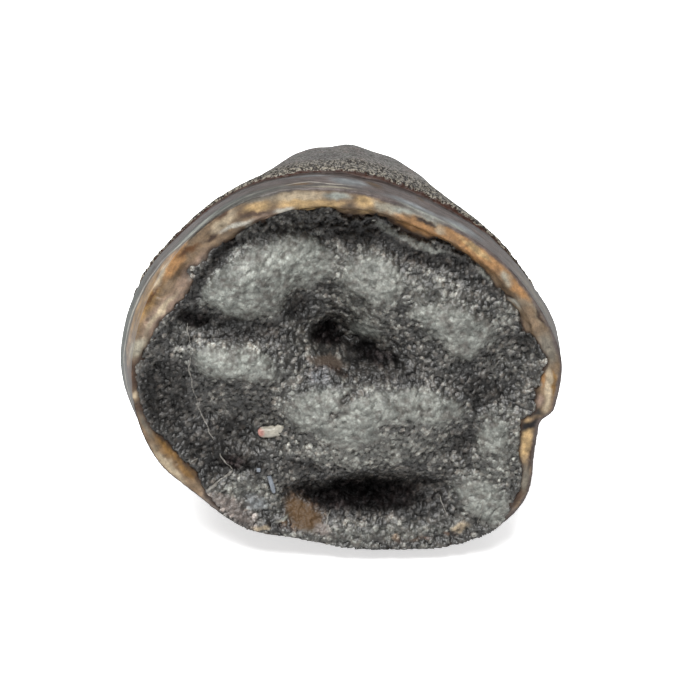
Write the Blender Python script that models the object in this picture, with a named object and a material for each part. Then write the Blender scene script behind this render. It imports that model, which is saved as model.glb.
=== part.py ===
"""A fossil tooth of a giant crocodilian, lying on its side with its broken base to the front.

World axes: +X to the right of the base, +Y from the base towards the tip, +Z up. The origin is
under the middle of the tooth's bounding box, on the surface that it lies on.

The tooth is first laid out in its own frame, in millimetres: x to the right and z up in the
plane of the base, and s along the axis from the base (0) to the tip (LENGTH). It is then tipped
forward by PITCH, cut off flat where it touches the surface, and moved onto the origin.
"""

import math

import bmesh
import bpy
from mathutils import Matrix, Vector
from mathutils.geometry import delaunay_2d_cdt

MM = 0.001

# Driving dimensions, in millimetres and degrees. A pair of places is where something starts and ends
LENGTH = 34.0
CROWN_HALF_WIDTH = 11.9
CROWN_HALF_HEIGHT = 11.3
CROWN_BLEND = (0.0, 0.55 * LENGTH)
TAPER_START = 2.0
TAPER_POWER = 1.3
TIP_BLUNTNESS = 0.5
BEND_UP = 4.9
LEAN_RIGHT = 1.0
BELLY_DEPTH = 2.0
BELLY_PLACE = 25.0
BELLY_SPREAD = 10.0
BELLY_FOCUS = 1.5
PITCH = 15.0
REST_CUT = 0.3
WEAR_CUT = 0.55
WEAR_TURN = 38.0

# The smooth root collar ends at the enamel's margin, which waves: waves around, turn, height
COLLAR_LENGTH = 5.2
MARGIN_WAVES = ((2, 34.0, 0.3), (5, 0.0, 0.15))
ENAMEL_STEP = 0.22
ENAMEL_RISER = 0.02
ENAMEL_FADE = (0.5 * LENGTH, 0.9 * LENGTH)

# The cutting ridge along each side of the crown, and the faint flutes between them
CARINA_ANGLES = (-8.0, 172.0)
CARINA_HEIGHT = 0.5
CARINA_SPREAD = 4.5
FLUTE_COUNT = 13
FLUTE_DEPTH = 0.09
RIDGE_RISE = (COLLAR_LENGTH, 0.4 * LENGTH)
RIDGE_FADE = (0.8 * LENGTH, LENGTH)

# The outline of the broken base: angle anticlockwise from +X, and radius
RIM_OUTLINE = (
    (0.0, 13.95),
    (20.0, 12.8),
    (40.0, 11.8),
    (60.0, 11.1),
    (80.0, 11.2),
    (100.0, 11.7),
    (122.0, 12.3),
    (145.0, 12.6),
    (170.0, 13.0),
    (190.0, 13.3),
    (207.0, 13.2),
    (222.0, 12.5),
    (240.0, 12.35),
    (253.0, 11.8),
    (262.0, 11.8),
    (270.0, 12.05),
    (286.0, 12.75),
    (300.0, 13.95),
    (312.0, 14.8),
    (323.0, 14.85),
    (335.0, 14.4),
    (347.0, 13.85),
)

# The root swells outwards behind the rim: angle, and how far. Below 200 degrees its outer layer is lost
SWELLING = (
    (0.0, 0.25),
    (8.0, 0.6),
    (20.0, 0.4),
    (60.0, 0.25),
    (120.0, 0.15),
    (142.0, 0.35),
    (158.0, 0.95),
    (172.0, 1.15),
    (186.0, 1.05),
    (197.0, 0.45),
    (207.0, 0.0),
    (270.0, 0.0),
    (345.0, 0.0),
)
SWELLING_RISE = (0.0, 3.2)
SWELLING_FADE = (6.0, 16.0)

# The notch in the right wall: below it a splinter is missing, and the wall is set in
NOTCH_ANGLE = 347.5
NOTCH_DEPTH = 0.85
NOTCH_EDGE = (0.0, 5.0)
NOTCH_FADE_BELOW = (11.5, 25.5)
NOTCH_FADE_BACK = (4.8, 8.0)

# The wall's broken edge around the fill: angle, thickness, and how far the fill lies behind it
WALL = (
    (0.0, 1.2, 0.5),
    (25.0, 1.0, 0.8),
    (50.0, 1.0, 1.5),
    (75.0, 1.1, 2.3),
    (95.0, 1.4, 2.6),
    (112.0, 1.5, 2.3),
    (128.0, 1.65, 1.6),
    (142.0, 1.95, 0.9),
    (156.0, 2.2, 0.6),
    (168.0, 1.4, 0.5),
    (180.0, 0.9, 0.4),
    (205.0, 0.9, 0.4),
    (222.0, 1.2, 0.5),
    (240.0, 0.7, 0.4),
    (270.0, 0.6, 0.2),
    (305.0, 0.6, 0.2),
    (335.0, 1.0, 0.4),
)
WALL_SLOPE = 0.16
WALL_SLOPE_EASE = 0.3

# Where the fill drops behind the wall, and where its lumps begin, in thicknesses of the wall
FILL_EDGE = (0.85, 1.4)
LUMPS_START = (0.8, 2.0)

# Lumps (+) and hollows (-) of the fill: x, z, half-length, half-height, turn, rise
RELIEF = (
    (-5.4, 6.1, 3.8, 2.1, 20.0, 1.5),     # upper left dome
    (1.9, 5.2, 2.8, 2.2, -20.0, 1.3),     # upper middle dome
    (7.2, 3.6, 3.2, 2.3, -35.0, 1.1),     # right shoulder of the fill
    (-2.2, 4.8, 0.9, 2.0, -20.0, -0.8),   # valley between the two domes
    (-7.2, 3.2, 3.6, 0.8, -6.0, -0.8),    # furrow under the upper left dome
    (0.6, 0.9, 2.6, 1.2, -12.0, -2.6),    # pulp pit
    (-0.6, -0.2, 1.2, 0.6, -20.0, 0.9),   # lump on the sill of the pit
    (-6.9, 0.4, 3.1, 1.1, -3.0, 1.0),     # ledge left of the pit
    (-7.6, -3.2, 3.2, 1.6, -8.0, -0.6),   # hollow under the ledge
    (3.4, -3.1, 4.9, 2.5, 5.0, 1.5),      # belly under the pit
    (-2.2, -2.3, 2.4, 1.5, 10.0, 0.5),    # left end of the belly
    (-5.7, -4.2, 1.5, 1.1, 20.0, -0.7),   # pocket left of the belly
    (10.4, -0.6, 1.6, 2.3, -10.0, -0.5),  # hollow at the right wall
    (7.6, -5.0, 1.6, 0.8, 8.0, -0.6),     # pocket right of the belly
    (1.5, -8.6, 4.9, 0.85, 3.0, -2.4),    # groove over the lower lip
    (10.4, -6.4, 2.0, 3.0, -25.0, 0.6),   # lower right shoulder
)

# Divisions of the mesh: the long edges' turn, closer ones at the notch, and the rings' places
SEGMENT_TURN = 4.0
NOTCH_CUTS = (-6.5, -5.0, -3.6, -2.5, -1.4, 0.0)
NOTCH_CLEARANCE = 0.5
COLLAR_RINGS = (0.0, 0.06, 0.22, 0.48, 0.76, 0.985)
CROWN_RINGS = 23
RING_CROWDING = 1.15
WALL_RINGS = (0.14, 0.55, 0.92, 1.22, 1.65)

# The net of triangles over the fill starts out wide enough to cover the base
FILL_GRID = 0.8
GRID_REACH = 15.0
GRID_CLEARANCE = 0.6 * FILL_GRID
NET_MERGE = 1e-5

FOSSIL_COLOUR = (0.075, 0.068, 0.062, 1.0)
FOSSIL_ROUGHNESS = 0.55
SHARP_ANGLE = 35.0


def smooth_step(low, high, value):
    """Rises smoothly from 0 at low to 1 at high."""
    t = min(max((value - low) / (high - low), 0.0), 1.0)
    return t * t * (3.0 - 2.0 * t)


def angle_between(a, b):
    """The signed turn from b to a, in degrees, between -180 and 180."""
    return (a - b + 180.0) % 360.0 - 180.0


def bell(distance, spread):
    """A smooth bump: 1 at no distance, falling away over the spread."""
    return math.exp(-((distance / spread) ** 2))


def around(points, angle):
    """The value at an angle, on a smooth closed curve through points of angle and value."""
    angle %= 360.0
    count = len(points)
    index = max(i for i in range(count) if points[i][0] <= angle)
    knots = []
    for step in (-1, 0, 1, 2):
        turn, place = divmod(index + step, count)
        knots.append((points[place][0] + 360.0 * turn, points[place][1]))
    (a0, r0), (a1, r1), (a2, r2), (a3, r3) = knots
    t = (angle - a1) / (a2 - a1)
    slope1 = (r2 - r0) / (a2 - a0) * (a2 - a1)
    slope2 = (r3 - r1) / (a3 - a1) * (a2 - a1)
    return (
        r1 * (1.0 + 2.0 * t) * (1.0 - t) ** 2
        + slope1 * t * (1.0 - t) ** 2
        + r2 * t * t * (3.0 - 2.0 * t)
        + slope2 * t * t * (t - 1.0)
    )


def crown_radius(angle):
    """The radius of the crown's oval section."""
    c, s = math.cos(math.radians(angle)), math.sin(math.radians(angle))
    return 1.0 / math.hypot(c / CROWN_HALF_WIDTH, s / CROWN_HALF_HEIGHT)


def margin_place(angle):
    """How far the enamel's margin lies from the base."""
    waves = [height * math.cos(math.radians(count * angle + turn)) for count, turn, height in MARGIN_WAVES]
    return COLLAR_LENGTH + sum(waves)


def fade_out(places, value):
    """Falls smoothly from 1 to 0 between two places."""
    return 1.0 - smooth_step(*places, value)


def taper(s):
    """The share of its full width that the tooth keeps at s."""
    u = min(max((s - TAPER_START) / (LENGTH - TAPER_START), 0.0), 1.0)
    return (1.0 - u ** TAPER_POWER) ** TIP_BLUNTNESS


def swelling(angle, s):
    """How far the root stands out behind the rim."""
    return around(SWELLING, angle) * smooth_step(*SWELLING_RISE, s) * fade_out(SWELLING_FADE, s)


def belly(angle, s):
    """The fullness of the crown's lower side, which the tooth rests on."""
    below = max(-math.sin(math.radians(angle)), 0.0)
    return BELLY_DEPTH * bell(s - BELLY_PLACE, BELLY_SPREAD) * below ** BELLY_FOCUS


def enamel_step(angle, s):
    """The enamel's edge at the margin, which dies out towards the tip."""
    if s < margin_place(angle):
        return 0.0
    return ENAMEL_STEP * fade_out(ENAMEL_FADE, s)


def ridges(angle, s):
    """The cutting ridges and flutes of the crown."""
    grown = smooth_step(*RIDGE_RISE, s) * fade_out(RIDGE_FADE, s)
    carina = max(bell(angle_between(angle, side), CARINA_SPREAD) for side in CARINA_ANGLES)
    flute = math.cos(math.radians(FLUTE_COUNT * angle))
    return grown * (CARINA_HEIGHT * carina + FLUTE_DEPTH * flute)


def notch(angle, s):
    """How far the wall is set in below the notch."""
    below = angle_between(NOTCH_ANGLE, angle)
    depth = NOTCH_DEPTH * smooth_step(*NOTCH_EDGE, below) * fade_out(NOTCH_FADE_BELOW, below)
    return depth * fade_out(NOTCH_FADE_BACK, s)


def outer_radius(angle, s):
    """The radius of the outer surface."""
    blend = smooth_step(*CROWN_BLEND, s)
    radius = (1.0 - blend) * around(RIM_OUTLINE, angle) + blend * crown_radius(angle)
    radius = (radius + swelling(angle, s)) * taper(s)
    return radius + enamel_step(angle, s) + belly(angle, s) + ridges(angle, s) - notch(angle, s)


def axis_point(s):
    """The middle of the section at s, in x and z: the crown bends up and leans to the right."""
    u = s / LENGTH
    return LEAN_RIGHT * u * u, BEND_UP * u * u


def outer_point(angle, s):
    """A point of the outer surface."""
    middle_x, middle_z = axis_point(s)
    radius = outer_radius(angle, s)
    a = math.radians(angle)
    return Vector((middle_x + radius * math.cos(a), s, middle_z + radius * math.sin(a)))


def wall_size(angle):
    """The thickness of the wall's broken edge, and how far the fill lies behind it."""
    thickness = around([(turn, width) for turn, width, _ in WALL], angle)
    fall = around([(turn, depth) for turn, _, depth in WALL], angle)
    return thickness, fall


def base_rise(x, z, angle, inward):
    """How far the base stands out in front of the rim's plane, at a distance inward from the rim."""
    thickness, fall = wall_size(angle)
    rise = -WALL_SLOPE * inward / (1.0 + WALL_SLOPE_EASE * inward)
    rise -= fall * smooth_step(*FILL_EDGE, inward / thickness)
    inside = smooth_step(*LUMPS_START, inward / thickness)
    for mid_x, mid_z, half_length, half_height, turn, height in RELIEF:
        c, s = math.cos(math.radians(turn)), math.sin(math.radians(turn))
        along = (x - mid_x) * c + (z - mid_z) * s
        across = (z - mid_z) * c - (x - mid_x) * s
        rise += height * inside * math.exp(-((along / half_length) ** 2) - (across / half_height) ** 2)
    return rise


def base_point(angle, radius):
    """A point of the broken base, at an angle and a distance from its middle."""
    a = math.radians(angle)
    x, z = radius * math.cos(a), radius * math.sin(a)
    inward = outer_radius(angle, 0.0) - radius
    return Vector((x, -base_rise(x, z, angle, inward), z))


def wall_ring_radius(angle, ring):
    """The radius of a ring of the wall's edge, counted in thicknesses of the wall."""
    return outer_radius(angle, 0.0) - ring * wall_size(angle)[0]


def segment_angles():
    """The angles of the mesh's long edges: evenly spaced, and closer at the notch."""
    angles = [i * SEGMENT_TURN for i in range(round(360.0 / SEGMENT_TURN))]
    near, far = min(NOTCH_CUTS) - NOTCH_CLEARANCE, max(NOTCH_CUTS) + NOTCH_CLEARANCE
    kept = [a for a in angles if not near < angle_between(a, NOTCH_ANGLE) < far]
    return sorted(kept + [(NOTCH_ANGLE + cut) % 360.0 for cut in NOTCH_CUTS])


def crown_place(angle, ring):
    """Where a ring of the crown lies: from the margin to just short of the tip."""
    start = margin_place(angle) + ENAMEL_RISER
    t = ring / CROWN_RINGS
    return start + (LENGTH - start) * math.sin(0.5 * math.pi * t) ** RING_CROWDING


def add_ring(mesh, points):
    """Adds a closed ring of vertices."""
    return [mesh.verts.new(point) for point in points]


def bridge(mesh, ring_a, ring_b):
    """Joins two rings of equal count with a band of four-sided faces."""
    count = len(ring_a)
    for i in range(count):
        j = (i + 1) % count
        mesh.faces.new((ring_a[i], ring_a[j], ring_b[j], ring_b[i]))


def fill_places():
    """Angles and radii for the fill's vertices: an even grid of triangles, clear of the wall."""
    places = []
    rows = math.ceil(GRID_REACH / FILL_GRID)
    for row in range(-rows, rows + 1):
        z = row * FILL_GRID * math.sqrt(0.75)
        for column in range(-rows, rows + 1):
            x = (column + 0.5 * (row % 2)) * FILL_GRID
            angle, radius = math.degrees(math.atan2(z, x)), math.hypot(x, z)
            if radius < wall_ring_radius(angle, WALL_RINGS[-1]) - GRID_CLEARANCE:
                places.append((angle, radius))
    return places


def close_with_fill(mesh, ring):
    """Closes the wall's innermost ring with an even net of triangles over the fill."""
    corners = ring + [mesh.verts.new(base_point(*place)) for place in fill_places()]
    flat = [Vector((v.co.x, v.co.z)) for v in corners]
    outline = [(i, (i + 1) % len(ring)) for i in range(len(ring))]
    net = delaunay_2d_cdt(flat, outline, [], 1, NET_MERGE)
    triangles, sources = net[2], net[3]
    for triangle in triangles:
        mesh.faces.new([corners[sources[i][0]] for i in triangle])


def close_with_pole(mesh, ring, point):
    """Closes a ring with a fan of triangles."""
    pole = mesh.verts.new(point)
    for i in range(len(ring)):
        mesh.faces.new((ring[i], ring[(i + 1) % len(ring)], pole))


def loft_tooth():
    """The whole tooth as one closed skin, in its own frame."""
    mesh = bmesh.new()
    angles = segment_angles()
    rings = []
    for ring in reversed(WALL_RINGS):
        rings.append(add_ring(mesh, [base_point(a, wall_ring_radius(a, ring)) for a in angles]))
    for place in COLLAR_RINGS:
        rings.append(add_ring(mesh, [outer_point(a, place * margin_place(a)) for a in angles]))
    for ring in range(CROWN_RINGS):
        rings.append(add_ring(mesh, [outer_point(a, crown_place(a, ring)) for a in angles]))
    for ring_a, ring_b in zip(rings, rings[1:]):
        bridge(mesh, ring_a, ring_b)
    close_with_fill(mesh, rings[0])
    tip_x, tip_z = axis_point(LENGTH)
    close_with_pole(mesh, rings[-1], Vector((tip_x, LENGTH, tip_z)))
    bmesh.ops.recalc_face_normals(mesh, faces=mesh.faces)
    return mesh


def cut_flat(mesh, outward, depth):
    """Cuts the skin off flat where it reaches furthest in a direction, and closes the cut."""
    furthest = max(v.co.dot(outward) for v in mesh.verts)
    parts = mesh.verts[:] + mesh.edges[:] + mesh.faces[:]
    point = outward * (furthest - depth)
    cut = bmesh.ops.bisect_plane(mesh, geom=parts, plane_co=point, plane_no=outward, clear_outer=True)
    edges = [item for item in cut["geom_cut"] if isinstance(item, bmesh.types.BMEdge)]
    bmesh.ops.contextual_create(mesh, geom=edges)
    bmesh.ops.recalc_face_normals(mesh, faces=mesh.faces)


def wear_tip(mesh):
    """The small worn facet on the upper side of the tip."""
    turn = math.radians(WEAR_TURN)
    cut_flat(mesh, Vector((0.0, math.cos(turn), math.sin(turn))), WEAR_CUT)


def lay_down(mesh):
    """Tips the tooth forward and cuts it off flat where it lies on the surface."""
    mesh.transform(Matrix.Rotation(math.radians(-PITCH), 4, "X"))
    cut_flat(mesh, Vector((0.0, 0.0, -1.0)), REST_CUT)


def centre_on_origin(mesh):
    """Moves the tooth so that the origin is under the middle of its box."""
    middle = []
    for axis in (0, 1):
        places = [v.co[axis] for v in mesh.verts]
        middle.append((min(places) + max(places)) / 2.0)
    lowest = min(v.co.z for v in mesh.verts)
    mesh.transform(Matrix.Translation((-middle[0], -middle[1], -lowest)))
    mesh.transform(Matrix.Scale(MM, 4))


def fossil_material():
    """Dark mineralised tooth: grey-brown, satin."""
    material = bpy.data.materials.new("fossil_tooth")
    material.use_nodes = True
    shader = material.node_tree.nodes["Principled BSDF"]
    shader.inputs["Base Color"].default_value = FOSSIL_COLOUR
    shader.inputs["Roughness"].default_value = FOSSIL_ROUGHNESS
    shader.inputs["Metallic"].default_value = 0.0
    return material


def make_tooth():
    """The tooth's object, where it lies."""
    skin = loft_tooth()
    wear_tip(skin)
    lay_down(skin)
    centre_on_origin(skin)
    mesh = bpy.data.meshes.new("tooth")
    skin.to_mesh(mesh)
    skin.free()
    mesh.shade_smooth()
    mesh.set_sharp_from_angle(angle=math.radians(SHARP_ANGLE))
    mesh.materials.append(fossil_material())
    tooth = bpy.data.objects.new("tooth", mesh)
    bpy.context.scene.collection.objects.link(tooth)
    return tooth


def clear_scene():
    """Removes every object that the scene starts with."""
    for item in list(bpy.data.objects):
        bpy.data.objects.remove(item, do_unlink=True)


clear_scene()
make_tooth()
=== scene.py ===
"""The looks of a fossil crocodilian tooth that lies on its side, broken base to the front.

The tooth is dressed in three main pieces that meet as the real layers do: the root with its broken
wall, the enamel crown, and the packed sand that fills the pulp cavity. Small foreign bits sit in
the sand. Patterns are laid out in the tooth's own frame, in millimetres: x to the right and z up
in the plane of the broken base, and s along the axis from the base (0) to the tip.
"""

import math

import bmesh
import bpy
import numpy as np
from mathutils import Matrix, Vector, noise
from mathutils.bvhtree import BVHTree


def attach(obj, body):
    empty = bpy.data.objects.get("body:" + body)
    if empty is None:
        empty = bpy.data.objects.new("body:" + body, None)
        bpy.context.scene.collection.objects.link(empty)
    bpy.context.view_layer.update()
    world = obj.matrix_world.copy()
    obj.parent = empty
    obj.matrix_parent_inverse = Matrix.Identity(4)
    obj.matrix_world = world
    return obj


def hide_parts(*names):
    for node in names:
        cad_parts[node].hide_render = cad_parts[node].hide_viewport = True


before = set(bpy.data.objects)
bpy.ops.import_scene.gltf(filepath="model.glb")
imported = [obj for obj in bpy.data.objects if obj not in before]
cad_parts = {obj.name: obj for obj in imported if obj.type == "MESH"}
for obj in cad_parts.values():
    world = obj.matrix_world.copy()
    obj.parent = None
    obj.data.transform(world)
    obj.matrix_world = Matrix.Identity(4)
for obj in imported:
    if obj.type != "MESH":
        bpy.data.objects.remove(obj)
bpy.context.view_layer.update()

NODE = "tooth"
MM = 0.001

# Where the tooth's own frame lies: the middle of its base, and how far it tips forward
BASE_CENTRE = Vector((0.0000339, -0.0154546, 0.0128865))
PITCH = math.radians(15.0)

# The enamel's margin: how far from the base, and its waves (waves around, turn, height)
MARGIN = 5.2
MARGIN_WAVES = ((2, 34.0, 0.3), (5, 0.0, 0.15))

# Sizes of the meshes' cells, in millimetres
SAND_CELL = 0.07
ROOT_CELL = 0.1
CROWN_CELL = 0.138
MOST_TRIANGLES = 195_000

# The frame's copy: how near points merge in metres, the least angle of a crisp edge, and how crisp
MERGE_WITHIN = 2e-6
SHARP_ANGLE = math.radians(32.0)
CREASE = 0.8

# The joint under the margin: how far the root runs on under the enamel, and the enamel over the root
ROOT_UNDER = 1.3
CROWN_OVER = 0.9

# Where rays start: a radius past the whole tooth, and a place in front of its base
PAST_TOOTH = 25.0
IN_FRONT = -8.0
INTO_BASE = Vector((0.0, 1.0, 0.0))

# The sand's height map: its reach, how far its form and its rises are blurred, and the grains' wear
SAND_ACROSS = (-14.6, 14.6)
SAND_UP = (-13.4, 12.6)
FORM_BLUR = 0.3
RISE_BLUR = 0.2
GRAIN_WEAR = 1.3

# The sand: how deep its form and its skin go at most, its flat back, and how far that is narrower
FORM_DEEPEST = 4.0
SKIN_DEEPEST = 5.0
SAND_BACK = 5.6
BACK_NARROWER = 1.2

# The radius at which patterns that run round the tooth keep their true size
WRAP_RADIUS = 11.0

# The wall's broken edge around the sand: angle anticlockwise from +X, and width in millimetres
WALL_WIDTH = (
    (0.0, 1.1), (8.0, 1.3), (15.0, 1.7), (25.0, 1.6), (38.0, 1.45), (49.0, 1.6), (60.0, 1.8), (71.0, 1.6),
    (80.0, 1.8), (90.0, 1.95), (108.0, 2.2), (120.0, 1.85), (132.0, 1.6), (140.0, 1.7), (146.0, 1.55),
    (155.0, 2.15), (162.0, 1.4), (166.0, 1.2), (174.0, 0.75), (180.0, 0.35), (190.0, 0.5), (195.0, 0.45),
    (199.0, 0.75), (204.0, 1.35), (208.0, 1.45), (212.0, 1.05), (217.0, 1.0), (224.0, 0.55), (233.0, 0.1),
    (254.0, 0.0), (262.0, -0.1), (295.0, -0.12), (310.0, 0.0), (322.0, 0.6), (332.0, 0.95), (345.0, 1.0),
    (350.0, 1.4), (355.0, 1.45),
)
WALL_RAGGED = 0.22

# Colours of the fossil, as linear light
COLOURS = {
    "amber": (0.115, 0.064, 0.022),
    "amber_deep": (0.06, 0.027, 0.010),
    "orange": (0.205, 0.11, 0.046),
    "honey": (0.15, 0.09, 0.035),
    "gold": (0.27, 0.185, 0.09),
    "cream": (0.24, 0.195, 0.135),
    "ivory": (0.2, 0.183, 0.142),
    "pinkish": (0.15, 0.106, 0.08),
    "white": (0.3, 0.285, 0.245),
    "tan": (0.115, 0.08, 0.05),
    "tan_dim": (0.042, 0.032, 0.025),
    "grey_tan": (0.1, 0.088, 0.07),
    "rose_grey": (0.125, 0.108, 0.098),
    "rust": (0.06, 0.036, 0.018),
    "sea_pale": (0.19, 0.2, 0.178),
    "sea_grey": (0.038, 0.044, 0.037),
    "blue_grey": (0.115, 0.122, 0.125),
    "mauve": (0.066, 0.053, 0.049),
    "mauve_brown": (0.042, 0.031, 0.027),
    "brown": (0.045, 0.027, 0.018),
    "umber": (0.026, 0.016, 0.011),
    "red_brown": (0.03, 0.011, 0.006),
    "black": (0.006, 0.005, 0.005),
    "dark": (0.0185, 0.0172, 0.0155),
    "dim": (0.049, 0.048, 0.043),
    "mid": (0.098, 0.1, 0.09),
    "pale": (0.16, 0.167, 0.152),
    "bright": (0.205, 0.216, 0.196),
    "bluish": (0.04, 0.042, 0.046),
    "shell": (0.22, 0.205, 0.17),
    "pink": (0.25, 0.095, 0.08),
    "ice": (0.125, 0.14, 0.16),
    "vein": (0.13, 0.122, 0.108),
    "enamel_dark": (0.022, 0.0168, 0.013),
    "enamel_pale": (0.046, 0.0385, 0.03),
    "enamel_rose": (0.07, 0.047, 0.037),
    "enamel_green": (0.031, 0.034, 0.025),
    # Specks near the enamel's margin: partly its own, partly painted shade in the grooves and glints on the
    # crests
    "speck_dark_shade": (0.009, 0.006, 0.0045),
    "speck_pale_glint": (0.17, 0.154, 0.124),
    "margin_line": (0.025, 0.010, 0.006),
}
# The painted shade in the gaps between the grains, darker and browner: what is left of the grains' colour
GAP_SHADE = (0.42, 0.35, 0.32)

# Stains on the broken wall, and painted shadow at the notch: what, x, z, half length, half width,
# and turn in degrees
WALL_STAINS_AND_NOTCH_SHADE = (
    ("pinkish", -11.0, 3.8, 2.1, 0.45, 50), ("cream", -11.2, 3.7, 1.7, 0.16, 52),
    ("honey", -12.5, 4.3, 2.2, 0.75, 57), ("amber_deep", -11.6, 5.0, 1.3, 0.12, 56),
    ("orange", -10.3, 6.9, 1.2, 0.4, 52), ("rust", -9.9, 6.4, 0.7, 0.3, 30),
    ("amber_deep", -9.4, 7.6, 0.7, 0.2, 25), ("cream", -11.1, 6.1, 1.0, 0.2, 62),
    ("pinkish", -9.2, 6.4, 1.4, 0.4, 50), ("white", -8.9, 6.5, 0.8, 0.1, 48),
    ("tan", -8.9, 8.6, 0.65, 0.35, 50), ("umber", -8.0, 8.5, 0.6, 0.2, 45),
    ("cream", -7.2, 9.4, 1.0, 0.3, 35), ("brown", -7.0, 10.1, 0.8, 0.22, 32),
    ("white", -6.4, 9.15, 1.0, 0.18, 20), ("blue_grey", -6.2, 10.65, 0.6, 0.2, 28),
    ("grey_tan", -4.8, 10.9, 1.0, 0.25, 12), ("gold", -5.0, 10.35, 0.7, 0.28, 10),
    ("brown", -5.0, 9.95, 1.1, 0.12, 3), ("pinkish", -4.6, 9.65, 0.8, 0.25, 15),
    ("cream", -2.6, 10.95, 1.6, 0.45, 0), ("gold", -2.5, 10.5, 1.3, 0.25, -3),
    ("white", -3.4, 10.1, 0.55, 0.2, 10), ("gold", -0.75, 10.4, 0.9, 0.22, -4),
    ("sea_pale", -0.2, 10.95, 0.8, 0.25, -3), ("gold", 1.6, 10.55, 0.55, 0.45, -25),
    ("ivory", 3.1, 10.2, 1.0, 0.3, -18), ("sea_pale", 4.8, 9.65, 1.6, 0.26, -22),
    ("orange", 5.4, 8.85, 1.9, 0.4, -22), ("umber", 5.3, 9.25, 0.95, 0.1, -14),
    ("cream", 6.3, 8.75, 0.4, 0.26, -20), ("orange", 8.6, 7.3, 2.6, 0.55, -39),
    ("gold", 8.4, 7.55, 1.1, 0.2, -40), ("umber", 7.5, 8.6, 0.6, 0.1, -22),
    ("ivory", 10.4, 5.6, 0.5, 0.28, -42), ("orange", 11.2, 4.9, 0.9, 0.3, -48),
    ("umber", 11.7, 5.1, 1.1, 0.1, -52), ("umber", 10.6, 4.4, 0.4, 0.2, -40),
    ("white", 11.0, 3.95, 0.6, 0.2, -35), ("ivory", 11.9, 3.4, 1.0, 0.4, -50),
    ("tan", 12.0, 3.0, 1.4, 0.5, -60), ("umber", 12.5, 3.2, 0.8, 0.08, -60),
    ("grey_tan", 13.0, 0.9, 1.1, 0.7, -80), ("orange", 12.6, -0.7, 0.65, 0.34, 86),
    ("cream", 13.05, -1.7, 1.6, 0.24, 86), ("amber", 13.4, -1.3, 0.9, 0.12, 86),
    ("white", 12.2, -1.3, 0.35, 0.25, 30), ("pinkish", 12.4, -2.5, 0.4, 0.3, 60),
    # The dark and black spots at the notch, near x 12 and z -3 to -5, are painted shadow on and under its
    # ledge
    ("dark", 12.3, -3.2, 0.5, 0.26, 0), ("gold", 11.7, -5.0, 1.3, 0.3, 87),
    ("black", 11.95, -3.95, 1.2, 0.3, 10), ("black", 12.35, -4.8, 0.9, 0.17, 84),
    ("umber", 12.1, -6.0, 1.5, 0.09, 84), ("grey_tan", 11.5, -7.6, 1.1, 0.5, 80),
    ("brown", 11.1, -8.8, 0.6, 0.3, 40), ("rose_grey", 10.2, -9.8, 0.9, 0.5, 35),
    ("ivory", -12.7, 1.4, 0.8, 0.4, 50), ("brown", -13.0, -0.4, 1.1, 0.6, 86),
    ("cream", -12.95, -1.75, 0.35, 0.22, 0), ("brown", -12.7, -2.6, 0.5, 0.35, -60),
    ("grey_tan", -12.2, -3.8, 1.0, 0.3, -60), ("amber", -10.7, -5.4, 1.9, 0.5, -52),
    ("cream", -11.0, -6.4, 1.5, 0.22, -52), ("amber", -9.5, -7.0, 0.9, 0.35, -40),
    ("tan", -8.9, -7.9, 0.8, 0.3, -40), ("rose_grey", -7.1, -9.4, 1.8, 0.6, -35),
)

# Hollows are seen from above, so a deeper spot appears higher: by this share of its depth
SEEN_HIGHER = 0.29
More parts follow.
